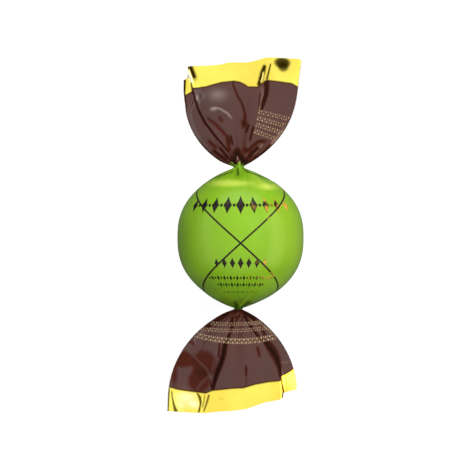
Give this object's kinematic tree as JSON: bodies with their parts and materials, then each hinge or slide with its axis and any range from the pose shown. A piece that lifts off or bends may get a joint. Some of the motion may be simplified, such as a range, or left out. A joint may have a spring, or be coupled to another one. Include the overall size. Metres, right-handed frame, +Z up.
{
  "type": "wrapped chocolate bonbon",
  "caption": "Round chocolate bonbon in glossy film, gathered at a neck on each side and flared into two flat pleated tails with bright metallic rims.",
  "frame": {"origin": "middle of the small flat spot that the ball rests on", "axes": "+Y along the sweet, +X across it and +Z up, towards the printed front"},
  "size_m": [0.0301, 0.0779, 0.0275],
  "materials": {
    "green_film": "satin lime-green printed wrapping film with a soft sheen",
    "brown_film": "glossy chocolate-brown printed wrapping film",
    "gold_film": "mirror-bright yellow-gold metallised film",
    "film_inside": "silvery metallised inner side of the film"
  },
  "bodies": {
    "root": {"wrapped_bonbon": "green_film"}
  },
  "joints": []
}
